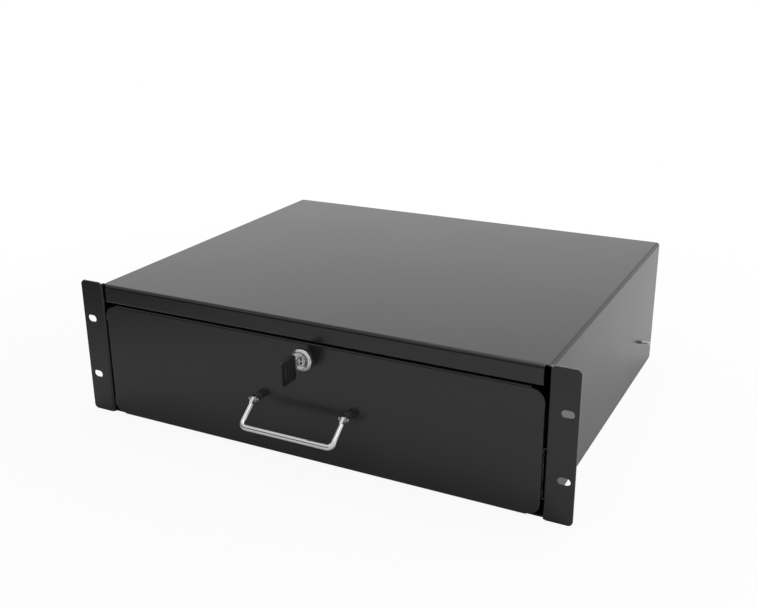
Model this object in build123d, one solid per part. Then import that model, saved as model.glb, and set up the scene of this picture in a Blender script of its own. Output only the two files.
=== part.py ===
from build123d import *
import os
from math import atan2, cos, degrees, radians, sin, sqrt

# A lockable sliding drawer for a 19-inch rack, three rack units high.
# Millimetres, X to the right, Y to the back, Z up.
# The origin is the middle of the four rack slots, on the rear face of the ears.

# Rack panel, from the 19-inch rack standard
panel_width = 482.6
panel_height = 132.5
slot_inset = 8.75           # slot middle to the end of the ear
slot_rise = 28.575          # slot middle above and below the middle of the panel
slot_length = 10.5
slot_width = 6.8
ear_width = 23.3            # outside of the case to the end of the ear
ear_corner = 4.0            # round lower corners
ear_chamfer = 2.8           # cut upper corners

# Case, one folded sheet with a base and a rear panel
case_depth = 360.0
case_sheet = 1.5
case_top_gap = 1.25         # top of the case below the top of the ears
case_bottom_gap = 0.25      # bottom of the case above the bottom of the ears
fold_radius = 1.5           # inside radius of the folds
edge_fold = 0.5             # the same for the lower edge of the lip and the drawer front
return_width = 14.0         # bottom and rear returns
lip_height = 17.5
lip_depth = 13.5
lip_end_gap = 4.2
base_sheet = 1.2
base_front_gap = 3.5
rear_sheet = 1.2
panel_edge_gap = 0.5

# Drawer front, a shallow pan
front_sheet = 1.5
front_flange = 6.0
front_corner = 10.8
corner_step = 1.7           # corners step in from the folded top and bottom edges
front_gap_side = 2.1
front_gap_top = 1.4
front_gap_bottom = 0.2      # above the bottom of the case
flange_end_gap = 1.1        # top and bottom flanges short of the case's bottom returns
flange_end_z = 16.0         # side flanges stop this far from the corners

# Drawer tray, one folded sheet
tray_sheet = 1.2
tray_wall = 86.5
tray_lock_gap = 10.0       # front wall below the lock nut
tray_rim = 8.0
tray_floor_gap = 1.8
tray_rear_gap = 9.3

# Telescopic slides, three rails with two rows of balls on each side
slide_height = 45.0
slide_depth = 12.7
slide_rise = 35.5           # middle of the slide above the bottom of the case
rail_sheet = 1.2
rail_bend = 1.2
rail_web_clearance = 0.3    # middle rail to the screw heads
slide_front_gap = 2.0
slide_rear_gap = 0.8
ball_diameter = 4.4
ball_clearance = 0.2
balls_in_row = 2
cage_length = 160.0
cage_sheet = 0.8
cage_width = 5.3
cage_grip = 1.1             # how far a cage reaches past the middle of its balls
cage_clearance = 0.1
outer_curl = 95.0           # how far each rail wraps round its balls, in degrees
middle_curl = 70.0
inner_curl = 25.0

# Fasteners
screw_diameter = 4.0
screw_head = 8.0
screw_head_height = 1.3
screw_end = 7.8             # bare ends of the slide screws outside the case
screw_inset_front = 37.0
screw_inset_rear = 44.0
hole_clearance = 0.15
rivet_diameter = 3.2
rivet_head = 6.4
rivet_head_height = 1.0
stud_diameter = 4.0
stud_length = 6.5
stud_inset_x = 45.0
stud_inset_z = 14.0
nut_flats = 7.0
nut_height = 3.2
thread_clearance = 0.1

# Bail handle
bail_width = 90.0
bail_rod = 5.7
bail_reach = 27.3           # pivot to the middle of the grip
bail_bend = 5.5
bail_angle = 52.9           # rest position, measured out from hanging
bail_tang = 3.0
bail_slack = 0.15
post_diameter = 9.0
post_reach = 9.0            # front face to the pivot
post_drop = 58.8            # top of the drawer front to the pivot
shoulder_gap = 0.9
pin_diameter = 3.0
pin_clearance = 0.05
pin_proud = 0.25
washer_diameter = 10.0
washer_height = 1.0
post_screw_head = 7.6
post_screw_head_height = 2.6
post_web = 1.1              # between the slot and the screw hole

# Lock and key
bezel_diameter = 20.6
bezel_height = 3.5
bezel_slope = 2.4
bezel_rim = 2.6             # outside of the bezel to the groove
bezel_groove = 0.6
barrel_diameter = 18.0
barrel_flats = 15.6
lock_nut_flats = 22.0
lock_nut_height = 4.0
lock_nut_gap = 4.0          # nut to the top flange of the drawer front
plug_diameter = 9.6
plug_clearance = 0.08
plug_recess = 0.3
stop_window_width = 1.0
stop_window_depth = 0.9
stop_window_angle = 90.0
drive_square = 6.4
drive_clearance = 0.05
drive_recess = 0.25         # square drive short of the cam's rear face
cam_gap = 1.3
cam_sheet = 2.5
cam_width = 14.0
cam_overlap = 9.0           # cam tip above the lower edge of the lip when locked
cam_barrel_gap = 0.3
cam_screw_depth = 4.5
wafer_count = 3
wafer_sheet = 1.1
wafer_gap = 1.6
wafer_width = 6.0
wafer_clearance = 0.1
blade_sheet = 2.0
blade_height = 6.4
blade_clearance = 0.3
blade_depth = 12.7          # length of blade inside the plug
blade_tail = 8.0            # length of blade inside the bow
notch_depth = 1.1
notch_count = 4
bow_length = 21.5
bow_height = 21.5
bow_thickness = 3.2
bow_gap = 9.0               # lock face to the bow
bow_drop = 1.2              # middle of the bow below the blade
bow_corner = 2.0
ring_slot_length = 12.0
ring_slot_width = 3.2
ring_slot_inset = 4.4
rib_count = 3
rib_length = 15.0
rib_width = 1.2
rib_height = 0.4
rib_step = 3.6
rib_inset = 3.4             # rear end of the bow to the middle of the first rib

# Places worked out from the driving dimensions
screw_hole = screw_diameter + 2 * hole_clearance
screw_thread = screw_diameter + 2 * thread_clearance
rivet_hole = rivet_diameter + 2 * hole_clearance

panel_half = panel_width / 2
case_half = panel_half - ear_width
slot_x = panel_half - slot_inset
side_inside = case_half - case_sheet
case_top = panel_height / 2 - case_top_gap
case_bottom = case_bottom_gap - panel_height / 2
lip_bottom = case_top - lip_height
lip_half = side_inside - lip_end_gap
lip_rear = lip_depth - case_sheet
rear_inside = case_depth - case_sheet - rear_sheet

front_face = -case_sheet
front_back = front_face + front_sheet
front_half = side_inside - front_gap_side
front_top = lip_bottom - front_gap_top
front_bottom = case_bottom + front_gap_bottom
flange_rear = front_face + front_flange

base_bottom = case_bottom + case_sheet
base_top = base_bottom + base_sheet
base_front = flange_rear + base_front_gap

slide_z = case_bottom + slide_rise
slide_front = flange_rear + slide_front_gap
slide_rear = rear_inside - slide_rear_gap
slide_middle = (slide_front + slide_rear) / 2
screw_places = (slide_front + screw_inset_front, slide_rear - screw_inset_rear)

tray_half = side_inside - slide_depth
tray_bottom = base_top + tray_floor_gap
tray_top = tray_bottom + tray_wall
tray_rear = rear_inside - tray_rear_gap
tray_front_inside = front_back + tray_sheet

lock_z = front_top - front_sheet - lock_nut_gap - lock_nut_flats / 2
tray_front_top = lock_z - lock_nut_flats / 2 - tray_lock_gap
bezel_face = front_face - bezel_height
cam_front = lip_rear + cam_gap
cam_rear = cam_front + cam_sheet
cam_length = lip_bottom + cam_overlap - lock_z
plug_face = bezel_face + plug_recess
blade_tip = plug_face + blade_depth
bow_rear = bezel_face - bow_gap
bow_front = bow_rear - bow_length

pivot_y = front_face - post_reach
pivot_z = front_top - post_drop
post_slot_end = pivot_y + bail_rod / 2 + shoulder_gap
post_hole_end = post_slot_end + post_web


def along_y(sketch, start, end):
    """Stand a sketch of (x, z) in the frame and extrude it from start to end."""
    plane = Plane(origin=(0, end, 0), x_dir=(1, 0, 0), z_dir=(0, -1, 0))
    return extrude(plane * sketch, amount=end - start)


def along_x(sketch, start, end):
    """Stand a sketch of (y, z) in the frame and extrude it from start to end."""
    plane = Plane(origin=(start, 0, 0), x_dir=(0, 1, 0), z_dir=(1, 0, 0))
    return extrude(plane * sketch, amount=end - start)


def along_z(sketch, start, end):
    """Extrude a sketch of (x, y) from start to end."""
    return extrude(Pos(0, 0, start) * sketch, amount=end - start)


def folded(points, sheet, radius=fold_radius):
    """Section of a folded sheet, from the points of its middle line."""
    return trace(FilletPolyline(*points, radius=radius + sheet / 2), sheet)


def rod_y(diameter, x, z, start, end):
    """Round bar along Y."""
    return along_y(Pos(x, z) * Circle(diameter / 2), start, end)


def rod_x(diameter, y, z, start, end):
    """Round bar along X."""
    return along_x(Pos(y, z) * Circle(diameter / 2), start, end)


def hexagon_y(flats, x, z, start, end):
    """Hexagonal bar along Y."""
    return along_y(Pos(x, z) * RegularPolygon(flats / 2, 6, major_radius=False), start, end)


def left_of(shape):
    """The same piece on the left side."""
    return mirror(shape, Plane.YZ)


def both_sides(shapes):
    """Right-hand pieces with their left-hand twins."""
    return list(shapes) + [left_of(shape) for shape in shapes]


def make_case_shell():
    """Top, sides, ears, front lip and returns, folded from one sheet."""
    middle = case_sheet / 2
    bend = case_sheet + fold_radius
    side_x = case_half - middle
    low_z = case_bottom + middle
    top_z = case_top - middle
    rear_y = case_depth - middle
    lip_z = lip_bottom + middle
    ear_start = side_inside + bend
    wrap = folded(
        [
            (case_half - return_width, low_z),
            (side_x, low_z),
            (side_x, top_z),
            (-side_x, top_z),
            (-side_x, low_z),
            (return_width - case_half, low_z),
        ],
        case_sheet,
    )
    side = folded(
        [
            (ear_start + case_sheet, -middle),
            (side_x, -middle),
            (side_x, rear_y),
            (case_half - return_width, rear_y),
        ],
        case_sheet,
    )
    roof = folded(
        [
            (-middle, lip_bottom + bend),
            (-middle, top_z),
            (rear_y, top_z),
            (rear_y, case_top - return_width),
        ],
        case_sheet,
    )
    lip_edge = folded(
        [(lip_rear, lip_z), (-middle, lip_z), (-middle, lip_bottom + 2 * bend)], case_sheet, edge_fold
    )
    ear_bend = folded(
        [(ear_start + case_sheet, -middle), (side_x, -middle), (side_x, fold_radius + middle)], case_sheet
    )
    ear = Pos((ear_start + panel_half) / 2, 0) * Rectangle(panel_half - ear_start, panel_height)
    ear = chamfer(ear.vertices().group_by(Axis.Y)[-1].sort_by(Axis.X)[-1], ear_chamfer)
    ear = fillet(ear.vertices().group_by(Axis.Y)[0].sort_by(Axis.X)[-1], ear_corner)
    for z in (-slot_rise, slot_rise):
        ear -= Pos(slot_x, z) * SlotOverall(slot_length, slot_width)

    side_wall = along_z(side, case_bottom + bend, case_top - bend)
    for y in screw_places:
        side_wall -= rod_x(screw_hole, y, slide_z, side_inside - bend, case_half + bend)
    ear_edge = along_z(ear_bend, case_bottom, case_top)
    ear_plate = along_y(ear, front_face, 0)

    shell = along_y(wrap, bend - case_sheet, case_depth - bend)
    for y in screw_places:
        shell -= rod_x(screw_hole, y, slide_z, -panel_width, panel_width)
    shell += along_x(roof + lip_edge, -lip_half, lip_half)
    for piece in both_sides([side_wall, ear_edge, ear_plate]):
        shell += piece
    return shell


def make_base_panel():
    """Flat sheet welded on the bottom returns."""
    half = side_inside - fold_radius - panel_edge_gap
    rear = rear_inside - panel_edge_gap
    sheet = Pos(0, (base_front + rear) / 2) * Rectangle(2 * half, rear - base_front)
    return along_z(sheet, base_bottom, base_top)


def make_rear_panel():
    """Flat sheet welded inside the rear returns."""
    half = side_inside - fold_radius - panel_edge_gap
    low = base_bottom + panel_edge_gap
    high = case_top - case_sheet - fold_radius - panel_edge_gap
    sheet = Pos(0, (low + high) / 2) * Rectangle(2 * half, high - low)
    return along_y(sheet, rear_inside, rear_inside + rear_sheet)


def ball_places():
    """Middles of the outer and inner balls, as (depth, height) in the slide's section."""
    race = ball_diameter / 2 + ball_clearance + rail_sheet / 2
    outer = (slide_depth - rail_sheet / 2 - race, slide_height / 2 - rail_sheet / 2 - race)
    inner_depth = 1.5 * rail_sheet + screw_head_height + rail_web_clearance + race
    across = outer[0] - inner_depth
    inner = (inner_depth, outer[1] - sqrt(4 * race**2 - across**2))
    return race, outer, inner


def rail(upper_half, start, end):
    """Right-hand rail from the upper half of its section, measured from the case side."""
    plane = Plane(origin=(side_inside, start, slide_z), x_dir=(-1, 0, 0), z_dir=(0, 1, 0))
    upper = extrude(plane * trace(upper_half, rail_sheet), amount=end - start)
    return upper + mirror(upper, Plane.XY.offset(slide_z))


def make_outer_rail():
    """Rail on the case: a channel whose edges curl over the outer balls."""
    race, outer, inner = ball_places()
    web = rail_sheet / 2
    arm = slide_height / 2 - rail_sheet / 2
    channel = FilletPolyline((web, 0), (web, arm), (outer[0], arm), radius=rail_bend + web)
    curl = CenterArc(outer, race, 90, -outer_curl)
    shape = rail([channel, curl], slide_front, slide_rear)
    for y in screw_places:
        shape -= rod_x(screw_hole, y, slide_z, side_inside - 2 * rail_sheet, side_inside + 1)
    return shape


def make_middle_rail():
    """Rail between: its edges run over the inner balls and under the outer ones."""
    race, outer, inner = ball_places()
    web = inner[0] - race
    tilt = degrees(atan2(outer[1] - inner[1], outer[0] - inner[0]))
    upright = Line((web, 0), (web, inner[1]))
    over = CenterArc(inner, race, 180, tilt - 180)
    under = CenterArc(outer, race, 180 + tilt, middle_curl)
    return rail([upright, over, under], slide_front, slide_rear)


def make_inner_rail():
    """Rail on the tray: a channel whose edges carry the inner balls."""
    race, outer, inner = ball_places()
    web = slide_depth - rail_sheet / 2
    arm = inner[1] - race
    channel = FilletPolyline((web, 0), (web, arm), (inner[0], arm), radius=rail_bend + rail_sheet / 2)
    curl = CenterArc(inner, race, 270, -inner_curl)
    shape = rail([channel, curl], slide_front, slide_rear)
    for y in screw_places:
        shape -= rod_x(rivet_hole, y, slide_z, tray_half - 1, tray_half + 2 * rail_sheet)
    return shape


def row_of_balls():
    """Places of the balls along the slide."""
    step = cage_length / balls_in_row
    first = slide_middle - cage_length / 2 + step / 2
    return [first + step * place for place in range(balls_in_row)]


def make_balls(centre):
    """Balls of one cage, above and below the middle of the right-hand slide."""
    balls = []
    for z in (slide_z + centre[1], slide_z - centre[1]):
        for y in row_of_balls():
            balls.append(Pos(side_inside - centre[0], y, z) * Sphere(ball_diameter / 2))
    return balls


def make_cage(centre, towards_tray):
    """Two strips that hold the balls of one cage, open towards one side."""
    sign = 1 if towards_tray else -1
    grip_edge = centre[0] - sign * cage_grip
    far_edge = grip_edge + sign * cage_width
    strip = Pos(side_inside - (grip_edge + far_edge) / 2, slide_middle) * Rectangle(cage_width, cage_length)
    for y in row_of_balls():
        strip -= Pos(side_inside - centre[0], y) * Circle(ball_diameter / 2 + cage_clearance)
    strips = []
    for z in (slide_z + centre[1], slide_z - centre[1]):
        strips.append(along_z(strip, z - cage_sheet / 2, z + cage_sheet / 2))
    return strips


def make_case_rail_screws():
    """Screws from inside the outer rails, with bare ends outside the case."""
    seat = side_inside - rail_sheet
    screws = []
    for y in screw_places:
        head = rod_x(screw_head, y, slide_z, seat - screw_head_height, seat)
        shank = rod_x(screw_diameter, y, slide_z, seat, case_half + screw_end)
        end = shank.edges().filter_by(GeomType.CIRCLE).group_by(Axis.X)[-1]
        screws.append(head + chamfer(end, screw_diameter / 10))
    return both_sides(screws)


def make_tray_rail_rivets():
    """Rivets from the inner rails, set flush inside the tray's side walls."""
    seat = tray_half + rail_sheet
    wall = tray_half - tray_sheet
    rivets = []
    for y in screw_places:
        rivet = rod_x(rivet_head, y, slide_z, seat, seat + rivet_head_height)
        rivets.append(rivet + rod_x(rivet_diameter, y, slide_z, wall, seat))
    return both_sides(rivets)


def stud_places():
    """Weld studs on the back of the drawer front, as (x, z)."""
    x = tray_half - stud_inset_x
    low = tray_bottom + stud_inset_z
    high = tray_front_top - stud_inset_z
    return [(x, low), (x, high), (-x, low), (-x, high)]


def post_places():
    """Handle posts as x."""
    return (-bail_width / 2, bail_width / 2)


def make_drawer_front():
    """Pan with rounded corners, back-folded flanges and four weld studs."""
    middle = front_sheet / 2
    bend = front_sheet + edge_fold
    height = front_top - front_bottom - 2 * corner_step
    face_y = front_face + middle
    top_half = case_half - return_width - flange_end_gap
    side_low = front_bottom + flange_end_z
    side_high = front_top - flange_end_z

    face = Rectangle(2 * front_half, height)
    face = Pos(0, (front_top + front_bottom) / 2) * fillet(face.vertices(), front_corner)
    for z in (front_top - bend / 2, front_bottom + bend / 2):
        face -= Pos(0, z) * Rectangle(2 * top_half, bend)
    for x in (front_half - bend / 2, bend / 2 - front_half):
        face -= Pos(x, (side_low + side_high) / 2) * Rectangle(bend, side_high - side_low)
    upright = folded(
        [
            (flange_rear, front_top - middle),
            (face_y, front_top - middle),
            (face_y, front_bottom + middle),
            (flange_rear, front_bottom + middle),
        ],
        front_sheet,
        edge_fold,
    )
    across = folded(
        [
            (front_half - middle, flange_rear),
            (front_half - middle, face_y),
            (middle - front_half, face_y),
            (middle - front_half, flange_rear),
        ],
        front_sheet,
        edge_fold,
    )
    pan = along_y(face, front_face, front_back)
    pan += along_x(upright, -top_half, top_half)
    pan += along_z(across, side_low, side_high)
    for x, z in stud_places():
        pan += rod_y(stud_diameter, x, z, front_back, tray_front_inside + stud_length)

    barrel_hole = Circle(barrel_diameter / 2 + hole_clearance)
    barrel_hole &= Rectangle(barrel_flats + 2 * hole_clearance, barrel_diameter * 2)
    pan -= along_y(Pos(0, lock_z) * barrel_hole, front_face - 1, front_back + 1)
    for x in post_places():
        pan -= rod_y(screw_hole, x, pivot_z, front_face - 1, front_back + 1)
    return pan


def make_front_nuts():
    """Nuts that hold the tray on the weld studs."""
    nuts = []
    for x, z in stud_places():
        nut = hexagon_y(nut_flats, x, z, tray_front_inside, tray_front_inside + nut_height)
        bore = stud_diameter + 2 * thread_clearance
        nuts.append(nut - rod_y(bore, x, z, front_back, tray_front_inside + 2 * nut_height))
    return nuts


def make_drawer_tray():
    """Open tray: floor and sides with inward rims, front wall and rear wall."""
    middle = tray_sheet / 2
    side_x = tray_half - middle
    floor_z = tray_bottom + middle
    rim_z = tray_top - middle
    wrap = folded(
        [
            (tray_half - tray_rim, rim_z),
            (side_x, rim_z),
            (side_x, floor_z),
            (-side_x, floor_z),
            (-side_x, rim_z),
            (tray_rim - tray_half, rim_z),
        ],
        tray_sheet,
    )
    ends = folded(
        [
            (front_back + middle, tray_front_top),
            (front_back + middle, floor_z),
            (tray_rear - middle, floor_z),
            (tray_rear - middle, tray_top),
        ],
        tray_sheet,
    )
    bend = tray_sheet + fold_radius
    tray = along_y(wrap, front_back + bend, tray_rear - bend)
    tray += along_x(ends, bend - tray_half, tray_half - bend)
    for x, z in stud_places():
        tray -= rod_y(stud_diameter + 2 * hole_clearance, x, z, front_back - 1, tray_front_inside + 1)
    for x in post_places():
        tray -= rod_y(screw_hole, x, pivot_z, front_back - 1, tray_front_inside + 1)
    for y in screw_places:
        tray -= rod_x(rivet_hole, y, slide_z, -panel_width, panel_width)
    return tray


def make_handle_post(x):
    """Post with a slotted round end that holds the bail's tang."""
    post = rod_y(post_diameter, x, pivot_z, pivot_y, front_face)
    post += Pos(x, pivot_y, pivot_z) * Sphere(post_diameter / 2)
    slot = Pos(x, pivot_z) * Rectangle(bail_tang + 2 * bail_slack, 2 * post_diameter)
    post -= along_y(slot, pivot_y - post_diameter, post_slot_end)
    post -= rod_x(pin_diameter, pivot_y, pivot_z, x - post_diameter, x + post_diameter)
    return post - rod_y(screw_thread, x, pivot_z, post_hole_end, front_face)


def make_pivot_pins():
    """Pins through the posts, with ends that stand a little proud."""
    reach = post_diameter / 2 + pin_proud
    thickness = pin_diameter - pin_clearance
    return [rod_x(thickness, pivot_y, pivot_z, x - reach, x + reach) for x in post_places()]


def make_post_washers():
    """Washers under the post screws."""
    washers = []
    for x in post_places():
        washer = rod_y(washer_diameter, x, pivot_z, tray_front_inside, tray_front_inside + washer_height)
        hole = rod_y(screw_hole, x, pivot_z, front_back, tray_front_inside + 2 * washer_height)
        washers.append(washer - hole)
    return washers


def make_post_screws():
    """Screws that hold the posts from inside the tray."""
    seat = tray_front_inside + washer_height
    screws = []
    for x in post_places():
        head = rod_y(post_screw_head, x, pivot_z, seat, seat + post_screw_head_height)
        tip = post_hole_end + hole_clearance
        screws.append(head + rod_y(screw_diameter, x, pivot_z, tip, seat))
    return screws


def make_bail():
    """Bent rod with flattened ends, hung on the pins and swung out to its rest angle."""
    half = bail_width / 2
    shoulder = post_diameter / 2 + shoulder_gap
    path = FilletPolyline(
        (-half, 0, -shoulder),
        (-half, 0, -bail_reach),
        (half, 0, -bail_reach),
        (half, 0, -shoulder),
        radius=bail_bend,
    )
    start = Plane(origin=(-half, 0, -shoulder), z_dir=(0, 0, -1))
    bail = sweep(start * Circle(bail_rod / 2), path)
    for x in post_places():
        tang = Circle(bail_rod / 2) + Pos(0, -shoulder / 2) * Rectangle(bail_rod, shoulder)
        tang -= Circle(pin_diameter / 2 + pin_clearance)
        bail += along_x(tang, x - bail_tang / 2, x + bail_tang / 2)
    return Pos(0, pivot_y, pivot_z) * Rot(-bail_angle, 0, 0) * bail


def make_lock_barrel():
    """Sloping bezel and flatted barrel with a bore for the plug."""
    bezel = rod_y(bezel_diameter, 0, lock_z, bezel_face, front_face)
    rim = bezel.edges().filter_by(GeomType.CIRCLE).group_by(Axis.Y)[0]
    bezel = chamfer(rim, bezel_slope)
    body = Circle(barrel_diameter / 2) & Rectangle(barrel_flats, barrel_diameter * 2)
    barrel = bezel + along_y(Pos(0, lock_z) * body, front_face, cam_front - cam_barrel_gap)
    groove_radius = bezel_diameter / 2 - bezel_rim
    groove = Circle(groove_radius) - Circle(groove_radius - bezel_groove)
    barrel -= along_y(Pos(0, lock_z) * groove, bezel_face, bezel_face + bezel_groove)
    bore = plug_diameter / 2 + plug_clearance
    barrel -= rod_y(2 * bore, 0, lock_z, bezel_face - 1, cam_front)
    window = Circle(bore + stop_window_width) - Circle(bore - stop_window_width)
    reach = bezel_diameter
    half_angle = radians(stop_window_angle / 2)
    corner = (reach * cos(half_angle), reach * sin(half_angle))
    window &= make_face(Polyline((0, 0), (corner[0], -corner[1]), corner, close=True))
    return barrel - along_y(Pos(0, lock_z) * window, bezel_face - 1, bezel_face + stop_window_depth)


def make_lock_nut():
    """Thin nut on the barrel, against the back of the drawer front."""
    nut = hexagon_y(lock_nut_flats, 0, lock_z, front_back, front_back + lock_nut_height)
    return nut - rod_y(barrel_diameter + 2 * thread_clearance, 0, lock_z, front_face, cam_front)


def wafer_places():
    """Front faces of the wafers along the plug."""
    step = wafer_sheet + wafer_gap
    first = plug_face + (blade_depth - step * (wafer_count - 1)) / 2
    return [first + step * place for place in range(wafer_count)]


def make_lock_plug():
    """Plug with keyway, wafer slots, square drive and screw hole."""
    plug = rod_y(plug_diameter, 0, lock_z, plug_face, cam_front)
    drive = Pos(0, lock_z) * Rectangle(drive_square, drive_square)
    plug += along_y(drive, cam_front, cam_rear - drive_recess)
    keyway = Rectangle(blade_sheet + 2 * blade_clearance, blade_height + 2 * blade_clearance)
    plug -= along_y(Pos(0, lock_z) * keyway, plug_face, blade_tip + blade_clearance)
    slot = Rectangle(wafer_width + 2 * wafer_clearance, plug_diameter + 1)
    for y in wafer_places():
        plug -= along_y(Pos(0, lock_z) * slot, y - wafer_clearance, y + wafer_sheet + wafer_clearance)
    return plug - rod_y(screw_thread, 0, lock_z, cam_rear - cam_screw_depth, cam_rear)


def make_lock_wafers():
    """Wafers across the plug, each with a window for the blade."""
    wafer = Circle(plug_diameter / 2 - wafer_clearance) & Rectangle(wafer_width, plug_diameter)
    wafer -= Rectangle(blade_sheet + 4 * blade_clearance, blade_height + 4 * blade_clearance)
    return [along_y(Pos(0, lock_z) * wafer, y, y + wafer_sheet) for y in wafer_places()]


def make_lock_cam():
    """Flat cam on the square drive, lying to the side when the drawer is unlocked."""
    straight = cam_length - cam_width / 2
    cam = Circle(cam_width / 2) + Pos(straight / 2, 0) * Rectangle(straight, cam_width)
    cam += Pos(straight, 0) * Circle(cam_width / 2)
    cam -= Rectangle(drive_square + 2 * drive_clearance, drive_square + 2 * drive_clearance)
    return along_y(Pos(0, lock_z) * cam, cam_front, cam_rear)


def make_cam_screw():
    """Screw that clamps the cam on the plug."""
    head = hexagon_y(screw_head, 0, lock_z, cam_rear, cam_rear + nut_height)
    tip = cam_rear - cam_screw_depth + hole_clearance
    return head + rod_y(screw_diameter, 0, lock_z, tip, cam_rear)


def make_key_blade():
    """Flat blade with notches on both edges, its tail inside the bow."""
    tail = bow_rear - blade_tail
    length = blade_tip - tail
    blade = Pos((blade_tip + tail) / 2, lock_z) * Rectangle(length, blade_height)
    step = blade_depth / (notch_count + 1)
    for place in range(notch_count):
        y = blade_tip - step * (place + 1)
        depth = notch_depth * (1 if place % 2 else 0.6)
        notch = Polyline((y - step / 2, 0), (y + step / 2, 0), (y, -depth), close=True)
        blade -= Pos(0, lock_z + blade_height / 2) * make_face(notch)
        blade -= Pos(0, lock_z - blade_height / 2) * mirror(make_face(notch), Plane.XZ)
    return along_x(blade, -blade_sheet / 2, blade_sheet / 2)


def make_key_bow():
    """Moulded bow with ribs, a slot for a key ring and a pocket for the blade."""
    bow_z = lock_z - bow_drop
    outline = Rectangle(bow_length, bow_height)
    outline = Pos((bow_rear + bow_front) / 2, bow_z) * fillet(outline.vertices(), bow_corner)
    slot_y = bow_front + ring_slot_inset + ring_slot_width / 2
    outline -= Pos(slot_y, bow_z) * Rot(0, 0, 90) * SlotOverall(ring_slot_length, ring_slot_width)
    bow = along_x(outline, -bow_thickness / 2, bow_thickness / 2)
    reach = bow_thickness / 2 + rib_height
    for place in range(rib_count):
        rib = Pos(bow_rear - rib_inset - place * rib_step, bow_z) * Rectangle(rib_width, rib_length)
        bow += along_x(rib, -reach, reach)
    pocket = Pos(bow_rear - blade_tail / 2, lock_z) * Rectangle(blade_tail, blade_height)
    return bow - along_x(pocket, -blade_sheet / 2, blade_sheet / 2)


race_radius, outer_ball, inner_ball = ball_places()
right_pieces = {
    "outer_rail": make_outer_rail(),
    "middle_rail": make_middle_rail(),
    "inner_rail": make_inner_rail(),
    "outer_cage": make_cage(outer_ball, False),
    "inner_cage": make_cage(inner_ball, True),
}
nodes = {
    "case_shell": make_case_shell(),
    "base_panel": make_base_panel(),
    "rear_panel": make_rear_panel(),
    "case_rail_screws": make_case_rail_screws(),
    "drawer_front": make_drawer_front(),
    "front_nuts": make_front_nuts(),
    "drawer_tray": make_drawer_tray(),
    "tray_rail_rivets": make_tray_rail_rivets(),
    "left_handle_post": make_handle_post(post_places()[0]),
    "right_handle_post": make_handle_post(post_places()[1]),
    "pivot_pins": make_pivot_pins(),
    "post_washers": make_post_washers(),
    "post_screws": make_post_screws(),
    "bail": make_bail(),
    "lock_barrel": make_lock_barrel(),
    "lock_nut": make_lock_nut(),
    "lock_plug": make_lock_plug(),
    "lock_wafers": make_lock_wafers(),
    "lock_cam": make_lock_cam(),
    "cam_screw": make_cam_screw(),
    "key_blade": make_key_blade(),
    "key_bow": make_key_bow(),
    "outer_balls": both_sides(make_balls(outer_ball)),
    "inner_balls": both_sides(make_balls(inner_ball)),
}
for name, piece in right_pieces.items():
    pieces = piece if isinstance(piece, list) else [piece]
    nodes["right_" + name] = pieces
    nodes["left_" + name] = [left_of(one) for one in pieces]

os.makedirs("parts", exist_ok=True)
for name, piece in nodes.items():
    pieces = piece if isinstance(piece, list) else [piece]
    solids = [solid for one in pieces for solid in one.solids()]
    export_step(Compound(solids) if len(solids) > 1 else solids[0], f"parts/{name}.step")
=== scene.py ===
import math

import bmesh
import bpy
from mathutils import Matrix, Vector


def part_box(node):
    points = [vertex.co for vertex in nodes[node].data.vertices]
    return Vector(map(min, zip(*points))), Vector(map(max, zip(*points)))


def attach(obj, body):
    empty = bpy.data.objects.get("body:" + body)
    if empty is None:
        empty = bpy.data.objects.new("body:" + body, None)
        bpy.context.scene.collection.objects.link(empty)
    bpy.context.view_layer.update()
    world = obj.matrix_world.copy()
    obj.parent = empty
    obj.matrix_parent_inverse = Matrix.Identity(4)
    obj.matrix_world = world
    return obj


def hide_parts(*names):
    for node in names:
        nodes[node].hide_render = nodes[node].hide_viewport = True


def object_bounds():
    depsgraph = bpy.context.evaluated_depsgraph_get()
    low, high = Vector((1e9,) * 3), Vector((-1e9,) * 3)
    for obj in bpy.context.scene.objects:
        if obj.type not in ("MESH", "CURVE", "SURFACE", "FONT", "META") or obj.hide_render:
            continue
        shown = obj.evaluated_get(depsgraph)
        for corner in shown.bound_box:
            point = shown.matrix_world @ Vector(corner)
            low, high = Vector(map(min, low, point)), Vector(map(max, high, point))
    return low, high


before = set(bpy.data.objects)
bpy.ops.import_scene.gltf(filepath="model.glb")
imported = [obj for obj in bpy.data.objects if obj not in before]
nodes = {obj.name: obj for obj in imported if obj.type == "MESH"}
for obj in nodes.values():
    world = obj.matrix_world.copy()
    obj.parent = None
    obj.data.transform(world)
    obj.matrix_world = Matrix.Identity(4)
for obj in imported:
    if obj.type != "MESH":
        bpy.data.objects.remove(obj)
cadLow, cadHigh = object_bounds()
print("frame loaded:", len(nodes), "nodes")


# Helpers for the finishes. Every pattern reads Object coordinates, in metres.

noiseSpan = (0.3, 0.7)   # most of a noise lies between these
bevelSamples = 4


def startFinish(name):
    mat = bpy.data.materials.new(name)
    mat.use_nodes = True
    tree = mat.node_tree
    shader = next(n for n in tree.nodes if n.type == "BSDF_PRINCIPLED")
    coords = tree.nodes.new("ShaderNodeTexCoord")
    return mat, tree, shader, coords.outputs["Object"]


def noise(tree, coords, size, detail=2.0, stretch=(1, 1, 1)):
    # size is the width of one patch in metres, stretch makes it longer along an axis
    mapping = tree.nodes.new("ShaderNodeMapping")
    mapping.inputs["Scale"].default_value = [1 / (size * s) for s in stretch]
    tree.links.new(coords, mapping.inputs["Vector"])
    tex = tree.nodes.new("ShaderNodeTexNoise")
    tex.inputs["Scale"].default_value = 1.0
    tex.inputs["Detail"].default_value = detail
    tree.links.new(mapping.outputs["Vector"], tex.inputs["Vector"])
    return tex.outputs["Fac"]


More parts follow.
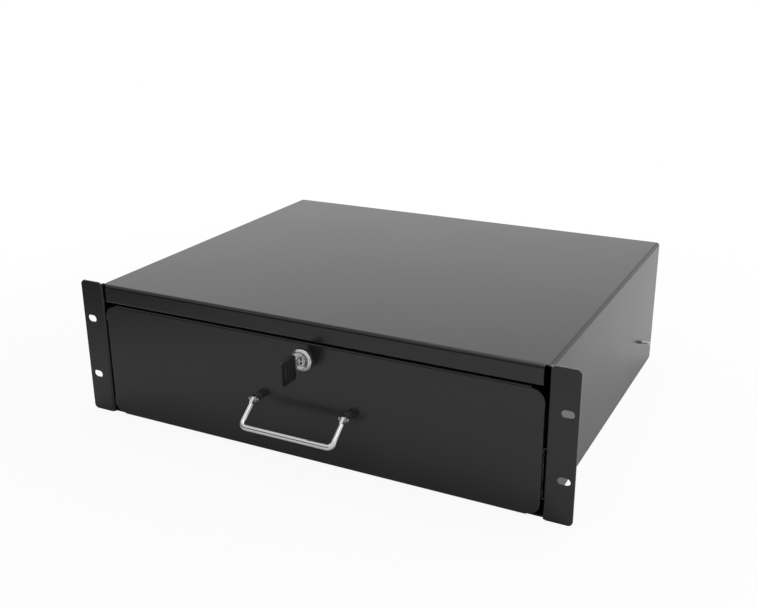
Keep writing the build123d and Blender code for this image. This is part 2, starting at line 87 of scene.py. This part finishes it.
def ranged(tree, value, low, high, span=noiseSpan, kind="LINEAR"):
    # goes from low to high while value goes over the span
    node = tree.nodes.new("ShaderNodeMapRange")
    node.interpolation_type = kind
    for key, number in zip(("From Min", "From Max", "To Min", "To Max"), (*span, low, high)):
        node.inputs[key].default_value = number
    tree.links.new(value, node.inputs["Value"])
    return node.outputs["Result"]


def eased(tree, value, span, low=0.0, high=1.0):
    # the same as a smooth step, also for a falling span
    (start, startTone), (stop, stopTone) = sorted(((span[0], low), (span[1], high)))
    return ranged(tree, value, startTone, stopTone, (start, stop), "SMOOTHSTEP")


def toned(tree, value, dark, light):
    ramp = tree.nodes.new("ShaderNodeValToRGB")
    for end, place, tone in zip(ramp.color_ramp.elements, noiseSpan, (dark, light)):
        end.position = place
        end.color = (*tone, 1)
    tree.links.new(value, ramp.inputs["Fac"])
    return ramp.outputs["Color"]


def combined(tree, operation, first, second):
    node = tree.nodes.new("ShaderNodeMath")
    node.operation = operation
    tree.links.new(first, node.inputs[0])
    tree.links.new(second, node.inputs[1])
    return node.outputs["Value"]


def softNormal(tree, radius):
    soft = tree.nodes.new("ShaderNodeBevel")
    soft.samples = bevelSamples
    soft.inputs["Radius"].default_value = radius
    return soft.outputs["Normal"]


def bumped(tree, shader, height, depth, edge):
    # depth is the height of the pattern in metres, edge the radius that a sharp edge is softened to
    bump = tree.nodes.new("ShaderNodeBump")
    bump.inputs["Strength"].default_value = 1.0
    bump.inputs["Distance"].default_value = depth
    tree.links.new(height, bump.inputs["Height"])
    tree.links.new(softNormal(tree, edge), bump.inputs["Normal"])
    tree.links.new(bump.outputs["Normal"], shader.inputs["Normal"])


# Satin black powder coat: faint orange peel, a little cloudiness in the gloss, and a painted highlight along
# sharp upper edges

blackCoat = {
    "dark": (0.0095, 0.0095, 0.0100),
    "light": (0.0125, 0.0125, 0.0130),
    "roughness": (0.19, 0.23),
    "cloud": 0.09,
    "cloudDetail": 3,
    "peel": 0.0011,
    "peelDetail": 1,
    "peelDepth": 0.000012,
    "edge": 0.00025,
    "edgeHighlightTone": (0.45, 0.45, 0.455),   # painted highlight along sharp upper edges, where light from above catches them
    "edgeHighlightReach": 0.0009,
    "edgeHighlightLean": (0.98, 0.85),          # cosine between the true and the softened normal
    "edgeHighlightUp": (0.4, 0.8),              # how far the true normal looks up
    "edgeHighlightAbove": (0.055, 0.060),       # only this high on the part
}


def edgeHighlightShare(tree, coords, cfg):
    # 1 along sharp upper edges, where the softened normal leans away from a true one that looks up; this is
    # where the highlight is painted
    true = tree.nodes.new("ShaderNodeNewGeometry")
    lean = tree.nodes.new("ShaderNodeVectorMath")
    lean.operation = "DOT_PRODUCT"
    tree.links.new(softNormal(tree, cfg["edgeHighlightReach"]), lean.inputs[0])
    tree.links.new(true.outputs["Normal"], lean.inputs[1])
    share = ranged(tree, lean.outputs["Value"], 0.0, 1.0, cfg["edgeHighlightLean"])
    for vector, span in ((true.outputs["Normal"], cfg["edgeHighlightUp"]), (coords, cfg["edgeHighlightAbove"])):
        split = tree.nodes.new("ShaderNodeSeparateXYZ")
        tree.links.new(vector, split.inputs["Vector"])
        share = combined(tree, "MULTIPLY", share, ranged(tree, split.outputs["Z"], 0.0, 1.0, span))
    return share


def powderCoat(cfg):
    mat, tree, shader, coords = startFinish("blackPowderCoat")
    cloud = noise(tree, coords, cfg["cloud"], cfg["cloudDetail"])
    peel = noise(tree, coords, cfg["peel"], cfg["peelDetail"])
    # painted highlight: light grey mixed into the base colour along the sharp upper edges
    paintedHighlight = tree.nodes.new("ShaderNodeMix")
    paintedHighlight.data_type = "RGBA"
    paintedHighlight.inputs["B"].default_value = (*cfg["edgeHighlightTone"], 1)
    tree.links.new(edgeHighlightShare(tree, coords, cfg), paintedHighlight.inputs["Factor"])
    tree.links.new(toned(tree, cloud, cfg["dark"], cfg["light"]), paintedHighlight.inputs["A"])
    tree.links.new(paintedHighlight.outputs["Result"], shader.inputs["Base Color"])
    tree.links.new(ranged(tree, cloud, *cfg["roughness"]), shader.inputs["Roughness"])
    bumped(tree, shader, peel, cfg["peelDepth"], cfg["edge"])
    return mat


# Plated and bare metals: each has its own tone, gloss and direction of grain

metalEdge = 0.00015
metals = {
    "zincPlate": {"dark": (0.50, 0.51, 0.53), "light": (0.62, 0.63, 0.65), "roughness": (0.26, 0.38),
                  "grain": 0.0006, "stretch": (1, 40, 1), "grainDepth": 0.000003},
    "polishedSteel": {"dark": (0.60, 0.60, 0.61), "light": (0.70, 0.70, 0.71), "roughness": (0.10, 0.18),
                      "grain": 0.0008, "stretch": (1, 1, 1), "grainDepth": 0.000001},
    "brightChrome": {"dark": (0.74, 0.74, 0.75), "light": (0.80, 0.80, 0.81), "roughness": (0.04, 0.07),
                     "grain": 0.004, "stretch": (1, 1, 1), "grainDepth": 0.000002},
    "blackNickel": {"dark": (0.260, 0.260, 0.262), "light": (0.320, 0.320, 0.323), "roughness": (0.36, 0.44),
                    "grain": 0.002, "stretch": (1, 1, 1), "grainDepth": 0.000002},
    "satinNickel": {"dark": (0.60, 0.60, 0.59), "light": (0.67, 0.67, 0.66), "roughness": (0.20, 0.26),
                    "grain": 0.0005, "stretch": (1, 1, 1), "grainDepth": 0.000003},
    "waferBrass": {"dark": (0.62, 0.46, 0.20), "light": (0.74, 0.57, 0.27), "roughness": (0.25, 0.40),
                   "grain": 0.0006, "stretch": (1, 1, 1), "grainDepth": 0.000003},
}

# Moulded black plastic with a fine grain

plasticEdge = 0.0003
keyPlastic = {"dark": (0.014, 0.014, 0.015), "light": (0.020, 0.020, 0.021), "roughness": (0.34, 0.46),
              "grain": 0.0004, "stretch": (1, 1, 1), "grainDepth": 0.00001}


def grained(name, cfg, metallic, edge):
    mat, tree, shader, coords = startFinish(name)
    shader.inputs["Metallic"].default_value = metallic
    grain = noise(tree, coords, cfg["grain"], stretch=cfg["stretch"])
    tree.links.new(toned(tree, grain, cfg["dark"], cfg["light"]), shader.inputs["Base Color"])
    tree.links.new(ranged(tree, grain, *cfg["roughness"]), shader.inputs["Roughness"])
    bumped(tree, shader, grain, cfg["grainDepth"], edge)
    return mat


finishes = {name: grained(name, cfg, 1.0, metalEdge) for name, cfg in metals.items()}
finishes["blackPowderCoat"] = powderCoat(blackCoat)
finishes["blackPlastic"] = grained("blackPlastic", keyPlastic, 0.0, plasticEdge)

slideParts = ("outer_rail", "middle_rail", "inner_rail", "outer_cage", "inner_cage")
wornBy = {
    "blackPowderCoat": ["case_shell", "base_panel", "rear_panel", "drawer_front", "drawer_tray"],
    "zincPlate": ["pivot_pins", "tray_rail_rivets", "front_nuts", "post_screws", "post_washers",
                  "cam_screw", "lock_cam",
                  *(side + part for side in ("left_", "right_") for part in slideParts)],
    "polishedSteel": ["outer_balls", "inner_balls"],
    "brightChrome": ["bail"],
    "satinNickel": ["lock_nut", "key_blade"],
    "waferBrass": ["lock_wafers"],
    "blackPlastic": ["key_bow"],
}
for finish, worn in wornBy.items():
    for name in worn:
        nodes[name].data.materials.clear()
        nodes[name].data.materials.append(finishes[finish])
print("finishes given to", sum(len(worn) for worn in wornBy.values()), "nodes")


# Helpers for the new pieces

tiny = 0.00001           # points nearer than this count as one place
mergeWithin = 0.000001   # points nearer than this become one
sharpFrom = 30           # degrees


def vertsOf(geom):
    return [part for part in geom if isinstance(part, bmesh.types.BMVert)]


def everything(bm):
    return bm.verts[:] + bm.edges[:] + bm.faces[:]


def finishPiece(name, bm, finish, body, replaced):
    bmesh.ops.remove_doubles(bm, verts=bm.verts, dist=mergeWithin)
    bmesh.ops.delete(bm, geom=[e for e in bm.edges if e.is_wire], context="EDGES")
    bmesh.ops.recalc_face_normals(bm, faces=bm.faces)
    mesh = bpy.data.meshes.new(name)
    bm.to_mesh(mesh)
    bm.free()
    mesh.shade_smooth()
    mesh.set_sharp_from_angle(angle=math.radians(sharpFrom))
    mesh.materials.append(finishes[finish])
    piece = bpy.data.objects.new(name, mesh)
    bpy.context.scene.collection.objects.link(piece)
    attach(piece, body)
    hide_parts(replaced)
    print("made", name, "with", len(mesh.polygons), "faces")


def drawn(bm, points):
    # closed line through the points
    verts = [bm.verts.new(point) for point in points]
    return verts, [bm.edges.new((verts[i - 1], verts[i])) for i in range(len(verts))]


def turned(bm, profile, centre, axis, steps):
    # closed ring from a profile of points, turned once round the axis
    verts, edges = drawn(bm, profile)
    bmesh.ops.spin(bm, geom=verts + edges, cent=centre, axis=axis, angle=2 * math.pi, steps=steps,
                   use_merge=True)


def pushed(bm, edges, vec, centre=(0, 0, 0), grow=1.0):
    # extrudes edges, widens the new ones round the centre in x and z, then moves them
    made = bmesh.ops.extrude_edge_only(bm, edges=edges)["geom"]
    verts = vertsOf(made)
    bmesh.ops.scale(bm, vec=(grow, 1, grow), verts=verts, space=Matrix.Translation(centre).inverted())
    bmesh.ops.translate(bm, vec=vec, verts=verts)
    return [part for part in made if isinstance(part, bmesh.types.BMEdge)]


# Handle posts: round bars with a ball end, slotted for the tang of the bail

handlePost = {
    "steps": 48,
    "radius": 0.0038,
    "slotHalf": 0.00165,
    "slotDepth": 0.00375,     # behind the pivot
    "web": 0.0011,            # between the slot and the screw hole
    "screwHole": 0.0020,
}


def makeHandlePost(cfg, node, name):
    low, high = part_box(node)
    pinLow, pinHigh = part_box("pivot_pins")
    pivot = Vector(((low.x + high.x) / 2, (pinLow.y + pinHigh.y) / 2, (pinLow.z + pinHigh.z) / 2))
    radius, half, hole = cfg["radius"], cfg["slotHalf"], cfg["screwHole"]
    slotEnd, rear = pivot.y + cfg["slotDepth"], high.y
    bm = bmesh.new()
    bmesh.ops.create_uvsphere(bm, u_segments=cfg["steps"], v_segments=cfg["steps"] // 2, radius=radius,
                              matrix=Matrix.Translation(pivot) @ Matrix.Rotation(math.pi / 2, 4, "X"))
    bmesh.ops.bisect_plane(bm, geom=everything(bm), dist=tiny, plane_co=pivot, plane_no=(0, 1, 0),
                           clear_outer=True)
    rim = pushed(bm, [e for e in bm.edges if e.is_boundary], (0, rear - pivot.y, 0))
    rim = pushed(bm, rim, (0, 0, 0), pivot, hole / radius)
    rim = pushed(bm, rim, (0, slotEnd + cfg["web"] - rear, 0))
    bmesh.ops.contextual_create(bm, geom=rim)

    # the slot is cut out of the ball end, then gets its two cheeks and its floor
    for place, normal in (((pivot.x - half, 0, 0), (1, 0, 0)), ((pivot.x + half, 0, 0), (1, 0, 0)),
                          ((0, slotEnd, 0), (0, 1, 0))):
        bmesh.ops.bisect_plane(bm, geom=everything(bm), dist=tiny, plane_co=place, plane_no=normal)
    middles = {part: part.calc_center_median() for part in bm.faces}
    opened = [part for part, at in middles.items() if abs(at.x - pivot.x) < half and at.y < slotEnd]
    bmesh.ops.delete(bm, geom=opened, context="FACES")
    corners = []
    for side in (-half, half):
        cheek = [v for v in bm.verts if v.is_boundary and abs(v.co.x - pivot.x - side) < tiny]
        corner = bm.edges.new([v for v in cheek if abs(v.co.y - slotEnd) < tiny])
        walls = [e for e in bm.edges if e.is_boundary and all(v in cheek for v in e.verts)]
        bmesh.ops.contextual_create(bm, geom=walls + [corner])
        corners.append(corner)
    arcs = [e for e in bm.edges if e.is_boundary and all(abs(v.co.y - slotEnd) < tiny for v in e.verts)]
    bmesh.ops.contextual_create(bm, geom=list(set(arcs + corners)))
    finishPiece(name, bm, "blackNickel", "drawer", node)


makeHandlePost(handlePost, "left_handle_post", "leftPost")
makeHandlePost(handlePost, "right_handle_post", "rightPost")


# Lock: bezel with a sloping rim, a groove and the window of the turning stop, on a flatted barrel

lockFace = {
    "steps": 96,
    "bore": 0.00488,
    "boreEdge": 0.00035,
    "grooveAt": (0.0071, 0.0077),
    "grooveDepth": 0.0012,
    "rimLand": 0.0005,
    "rimSlope": 0.0018,
    "rimSoft": 0.0004,
    "rimSteps": 3,
    "windowOuter": 0.00588,
    "windowDepth": 0.0026,
    "windowHalf": 45,         # degrees
    "barrel": 0.0090,
    "barrelFlats": 0.0078,
}


def makeLockFace(cfg):
    low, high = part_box("lock_barrel")
    centre = Vector((0, 0, (low.z + high.z) / 2))
    radius = (high.x - low.x) / 2
    face, rear = low.y, high.y
    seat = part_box("drawer_front")[0].y
    bore, window = cfg["bore"], cfg["windowOuter"]
    grooveIn, grooveOut = cfg["grooveAt"]
    rimTop, rimFoot = grooveOut + cfg["rimLand"], face + cfg["rimSlope"]
    windowFloor, grooveFloor = face + cfg["windowDepth"], face + cfg["grooveDepth"]
    barrel, flats = cfg["barrel"], cfg["barrelFlats"]
    profile = [(bore, rear), (bore, windowFloor), (bore, face + cfg["boreEdge"]),
               (bore + cfg["boreEdge"], face), (window, face), (grooveIn, face), (grooveIn, grooveFloor),
               (grooveOut, grooveFloor), (grooveOut, face), (rimTop, face), (radius, rimFoot),
               (radius, seat), (barrel, seat), (barrel, rear)]
    bm = bmesh.new()
    turned(bm, [(r, y, centre.z) for r, y in profile], centre, (0, 1, 0), cfg["steps"])
    bmesh.ops.remove_doubles(bm, verts=bm.verts, dist=mergeWithin)

    def reach(co):
        return (co - centre).xz.length

    def onRing(edge, r, y):
        return all(abs(reach(v.co) - r) < tiny and abs(v.co.y - y) < tiny for v in edge.verts)

    # the window is cut out of the face and the bore, then gets its wall, floor and ends
    half = math.radians(cfg["windowHalf"])
    opened = []
    for part in bm.faces:
        middle = part.calc_center_median()
        inSector = abs(math.atan2(middle.z - centre.z, middle.x)) < half
        if inSector and reach(middle) < window and middle.y < windowFloor - tiny:
            opened.append(part)
    bmesh.ops.delete(bm, geom=opened, context="FACES")
    outer = [e for e in bm.edges if e.is_boundary and onRing(e, window, face)]
    made = bmesh.ops.extrude_edge_only(bm, edges=outer)["geom"]
    bmesh.ops.translate(bm, verts=vertsOf(made), vec=(0, cfg["windowDepth"], 0))
    floorEdges = [e for e in bm.edges if e.is_boundary
                  and (onRing(e, window, windowFloor) or onRing(e, bore, windowFloor))]
    bmesh.ops.bridge_loops(bm, edges=floorEdges)
    bmesh.ops.holes_fill(bm, edges=[e for e in bm.edges if e.is_boundary], sides=0)
    rim = [e for e in bm.edges if onRing(e, rimTop, face) or onRing(e, radius, rimFoot)]
    bmesh.ops.bevel(bm, geom=rim, offset=cfg["rimSoft"], segments=cfg["rimSteps"], profile=0.5,
                    affect="EDGES", material=-1)

    # both sides of the barrel are pressed flat
    for vert in bm.verts:
        if abs(reach(vert.co) - barrel) < tiny and vert.co.y > seat - tiny:
            vert.co.x = max(-flats, min(flats, vert.co.x))
    finishPiece("lockFace", bm, "satinNickel", "drawer", "lock_barrel")


makeLockFace(lockFace)


# Plug of the lock: round face with a warded keyway, and the square that drives the cam

lockPlug = {
    "steps": 64,
    "edge": 0.0002,
    "keywayWidth": 0.0038,
    "keywayHeight": 0.0070,
    "keywayDepth": 0.0130,
    "wardReach": 0.0008,
    "wardHalf": 0.0006,
    "square": 0.0064,
}


def makeLockPlug(cfg):
    low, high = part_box("lock_plug")
    radius, z = (high.x - low.x) / 2, (low.z + high.z) / 2
    faceRadius = radius - cfg["edge"]
    face, camFront, rear = low.y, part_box("lock_cam")[0].y, high.y
    upright = Matrix.Translation((0, face, z)) @ Matrix.Rotation(math.pi / 2, 4, "X")
    bm = bmesh.new()
    bmesh.ops.create_circle(bm, segments=cfg["steps"], radius=faceRadius, matrix=upright)
    rimEdges = bm.edges[:]
    halfWide, halfHigh = cfg["keywayWidth"] / 2, cfg["keywayHeight"] / 2
    ward, wardHalf = halfWide - cfg["wardReach"], cfg["wardHalf"]
    right = [(halfWide, -halfHigh), (halfWide, -wardHalf), (ward, -wardHalf), (ward, wardHalf),
             (halfWide, wardHalf), (halfWide, halfHigh)]
    outline = right + [(-x, h) for x, h in reversed(right)]
    keyEdges = drawn(bm, [(x, face, z + h) for x, h in outline])[1]
    bmesh.ops.triangle_fill(bm, use_beauty=True, edges=rimEdges + keyEdges)

    wide = pushed(bm, rimEdges, (0, cfg["edge"], 0), (0, 0, z), radius / faceRadius)
    back = pushed(bm, wide, (0, camFront - face - cfg["edge"], 0))
    floor = pushed(bm, keyEdges, (0, cfg["keywayDepth"], 0))
    bmesh.ops.edgenet_fill(bm, edges=back)
    bmesh.ops.edgenet_fill(bm, edges=floor)
    drive = Matrix.Translation((0, (camFront + rear) / 2, z)) @ Matrix.Diagonal(
        (cfg["square"], rear - camFront, cfg["square"], 1))
    bmesh.ops.create_cube(bm, size=1.0, matrix=drive)
    finishPiece("lockPlug", bm, "satinNickel", "lock_plug", "lock_plug")


makeLockPlug(lockPlug)


# Slide screws: low heads inside the rails, threaded ends outside the case

railScrew = {
    "steps": 24,
    "railSheet": 0.0012,
    "headHeight": 0.0013,
    "headRound": 0.0006,
    "core": 0.00165,
    "crest": 0.0020,
    "pitch": 0.0007,
    "ridgeFoot": 0.96,        # of the core's radius, so that the ridge sinks into it
    "ridgeAt": (0.44, 0.88),  # of the pitch, where the ridge is highest and where it ends
    "tipLength": 0.0006,
    "tip": 0.0013,
}


def makeRailScrews(cfg):
    low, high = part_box("case_rail_screws")
    head = (high.z - low.z) / 2
    first, last, z = low.y + head, high.y - head, (low.z + high.z) / 2
    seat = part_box("right_outer_rail")[1].x - cfg["railSheet"]
    top, tip = seat - cfg["headHeight"], high.x
    shankEnd = tip - cfg["tipLength"]
    core, crest, pitch = cfg["core"], cfg["crest"], cfg["pitch"]
    axisPoint = Vector((0, first, z))
    outline = [(top, 0), (top, head - cfg["headRound"]), (top + cfg["headRound"], head), (seat, head),
               (seat, core), (shankEnd, core), (tip, cfg["tip"]), (tip, 0)]
    bm = bmesh.new()
    turned(bm, [(x, first, z + r) for x, r in outline], axisPoint, (1, 0, 0), cfg["steps"])

    # one helical ridge from the rail to the tip
    turns = int((shankEnd - seat) / pitch) - 1
    foot = core * cfg["ridgeFoot"]
    peakAt, endAt = (seat + pitch * share for share in cfg["ridgeAt"])
    verts, edges = drawn(bm, [(x, first, z + r) for x, r in ((seat, foot), (peakAt, crest), (endAt, foot))])
    bm.faces.new(verts)
    made = bmesh.ops.spin(bm, geom=verts + edges, cent=axisPoint, axis=(1, 0, 0), angle=2 * math.pi * turns,
                          steps=turns * cfg["steps"], dvec=(pitch / cfg["steps"], 0, 0))
    bm.faces.new(vertsOf(made["geom_last"]))

    # the rear screw, then both on the other side
    copied = bmesh.ops.duplicate(bm, geom=everything(bm))["geom"]
    bmesh.ops.translate(bm, verts=vertsOf(copied), vec=(0, last - first, 0))
    copied = bmesh.ops.duplicate(bm, geom=everything(bm))["geom"]
    bmesh.ops.rotate(bm, verts=vertsOf(copied), cent=(0, (first + last) / 2, z),
                     matrix=Matrix.Rotation(math.pi, 3, "Z"))
    finishPiece("railScrews", bm, "zincPlate", "case", "case_rail_screws")


makeRailScrews(railScrew)


# Pale floor with a painted pool of light, white background to the eye, a room with a dark band in front for
# reflections, and soft lamps

studio = {
    "floorHalf": 30.0,
    "floorPaintedLight": (0.82, 0.18),       # painted pool of light on the floor: its tone at the bright spot and far from that
    "paintedLightSpot": (0.70, 0.50),
    "paintedLightReach": (1.05, 1.55),       # where that brightness starts to fall and where it is lowest
    "whiteShare": (0.92, 1.0),       # share of plain white on the floor, beside the part and far from it
    "whiteReach": (0.30, 0.75),      # where that share starts to rise and where it is full
    "skyLight": 0.5,
    "room": {
        "front": 0.72,
        "rear": 0.50,
        "rearRight": 1.05,
        "turn": (-0.25, 0.25),       # from front to rear
        "right": (-0.05, 0.20),      # from rear to rear right
        "dark": 0.05,                # share of brightness left in the band
        "band": (-0.02, 0.02, 0.34, 0.44),   # heights where it comes in and where it goes out
        "bandEnd": (-0.10, 0.25),    # it fades to the right
    },
    "lamps": {
        "overhead": {"place": (0.3, 0.35, 1.5), "aim": (0.1, 0.2, 0), "size": (1.5, 1.5), "power": 11.0},
        "rearSoft": {"place": (-1.40, 2.2, 0.75), "aim": (-0.45, 0.2, 0), "size": (2.7, 1.8), "power": 7.7},
        "sideSoft": {"place": (1.6, 1.1, 0.9), "aim": (0.4, 0.8, 0), "size": (1.2, 1.2), "power": 10.5},
    },
}


def blended(tree, share, first, second):
    mix = tree.nodes.new("ShaderNodeMixShader")
    tree.links.new(share, mix.inputs["Fac"])
    tree.links.new(first, mix.inputs[1])
    tree.links.new(second, mix.inputs[2])
    return mix.outputs["Shader"]


def distanceTo(tree, coords, point):
    away = tree.nodes.new("ShaderNodeVectorMath")
    away.operation = "DISTANCE"
    away.inputs[1].default_value = point
    tree.links.new(coords, away.inputs[0])
    return away.outputs["Value"]


def layFloor(cfg):
    mat = bpy.data.materials.new("paleFloor")
    mat.use_nodes = True
    tree = mat.node_tree
    tree.nodes.clear()
    matt = tree.nodes.new("ShaderNodeBsdfDiffuse")
    white = tree.nodes.new("ShaderNodeEmission")
    path = tree.nodes.new("ShaderNodeLightPath")
    coords = tree.nodes.new("ShaderNodeTexCoord").outputs["Object"]
    # the floor's colour is a painted pool of light, bright round the spot and darker far from it, seen in
    # the part's reflections
    fromLightSpot = distanceTo(tree, coords, (*cfg["paintedLightSpot"], cadLow.z))
    tree.links.new(eased(tree, fromLightSpot, cfg["paintedLightReach"], *cfg["floorPaintedLight"]), matt.inputs["Color"])
    fromPart = distanceTo(tree, coords, (*((cadLow + cadHigh) / 2).xy, cadLow.z))
    share = combined(tree, "MULTIPLY", path.outputs["Is Camera Ray"],
                     eased(tree, fromPart, cfg["whiteReach"], *cfg["whiteShare"]))
    out = tree.nodes.new("ShaderNodeOutputMaterial")
    tree.links.new(blended(tree, share, matt.outputs["BSDF"], white.outputs["Emission"]),
                   out.inputs["Surface"])
    bm = bmesh.new()
    bmesh.ops.create_grid(bm, x_segments=1, y_segments=1, size=cfg["floorHalf"],
                          matrix=Matrix.Translation((0, 0, cadLow.z)))
    mesh = bpy.data.meshes.new("floor")
    bm.to_mesh(mesh)
    bm.free()
    mesh.materials.append(mat)
    floor = bpy.data.objects.new("floor", mesh)
    bpy.context.scene.collection.objects.link(floor)


def lightWorld(cfg):
    world = bpy.data.worlds.new("whiteRoom")
    bpy.context.scene.world = world
    world.use_nodes = True
    tree = world.node_tree
    tree.nodes.clear()
    skies = {}
    for name, strength in (("seen", 1.0), ("lit", cfg["skyLight"]), ("mirrored", 1.0)):
        sky = tree.nodes.new("ShaderNodeBackground")
        sky.inputs["Color"].default_value = (1, 1, 1, 1)
        sky.inputs["Strength"].default_value = strength
        skies[name] = sky
    coords = tree.nodes.new("ShaderNodeTexCoord")
    split = tree.nodes.new("ShaderNodeSeparateXYZ")
    tree.links.new(coords.outputs["Generated"], split.inputs["Vector"])
    x, y, z = split.outputs

    # walls of the mirrored room, brightest at the rear right, with a dark band low in front
    room = cfg["room"]
    walls = tree.nodes.new("ShaderNodeMix")
    walls.inputs["A"].default_value = room["front"]
    tree.links.new(eased(tree, y, room["turn"]), walls.inputs["Factor"])
    tree.links.new(eased(tree, x, room["right"], room["rear"], room["rearRight"]), walls.inputs["B"])
    front = combined(tree, "MULTIPLY", eased(tree, y, room["turn"], 1.0, 0.0),
                     eased(tree, x, room["bandEnd"], 1.0, 0.0))
    low = eased(tree, z, room["band"][:2])
    high = eased(tree, z, room["band"][2:], 1.0, 0.0)
    band = combined(tree, "MULTIPLY", combined(tree, "MULTIPLY", front, low), high)
    shade = combined(tree, "MULTIPLY", walls.outputs["Result"],
                     eased(tree, band, (0, 1), 1.0, room["dark"]))
    tree.links.new(shade, skies["mirrored"].inputs["Strength"])

    path = tree.nodes.new("ShaderNodeLightPath")
    seen, lit, mirrored = (sky.outputs["Background"] for sky in skies.values())
    bounced = combined(tree, "MAXIMUM", path.outputs["Is Glossy Ray"], path.outputs["Is Transmission Ray"])
    around = blended(tree, bounced, lit, mirrored)
    out = tree.nodes.new("ShaderNodeOutputWorld")
    tree.links.new(blended(tree, path.outputs["Is Camera Ray"], around, seen), out.inputs["Surface"])


def hangLamps(cfg):
    for name, lamp in cfg["lamps"].items():
        data = bpy.data.lights.new(name, "AREA")
        data.shape = "RECTANGLE"
        data.size, data.size_y = lamp["size"]
        data.energy = lamp["power"]
        holder = bpy.data.objects.new(name, data)
        bpy.context.scene.collection.objects.link(holder)
        holder.location = lamp["place"]
        beam = Vector(lamp["aim"]) - Vector(lamp["place"])
        holder.rotation_euler = beam.to_track_quat("-Z", "Y").to_euler()


layFloor(studio)
lightWorld(studio)
hangLamps(studio)
print("floor, world and", len(studio["lamps"]), "lamps set")


# Camera where the photograph was taken from

eye = {
    "place": (0.41782, -0.66549, 0.36341),
    "azimuth": 27.4,
    "elevation": 19.97,
    "roll": -0.52,
    "lens": 47.585,
    "sensor": 36.0,
    "clip": (0.01, 100.0),
}


def setCamera(cfg):
    az, el, roll = (math.radians(cfg[key]) for key in ("azimuth", "elevation", "roll"))
    back = Vector((math.sin(az) * math.cos(el), -math.cos(az) * math.cos(el), math.sin(el)))
    level = Vector((math.cos(az), math.sin(az), 0))
    right = level * math.cos(roll) + back.cross(level) * math.sin(roll)
    turn = Matrix((right, back.cross(right), back)).transposed().to_4x4()
    data = bpy.data.cameras.new("camera")
    data.lens = cfg["lens"]
    data.sensor_width = cfg["sensor"]
    data.clip_start, data.clip_end = cfg["clip"]
    camera = bpy.data.objects.new("camera", data)
    bpy.context.scene.collection.objects.link(camera)
    camera.matrix_world = Matrix.Translation(cfg["place"]) @ turn
    bpy.context.scene.camera = camera


setCamera(eye)
bpy.context.scene.view_settings.view_transform = "Standard"
print("camera set")
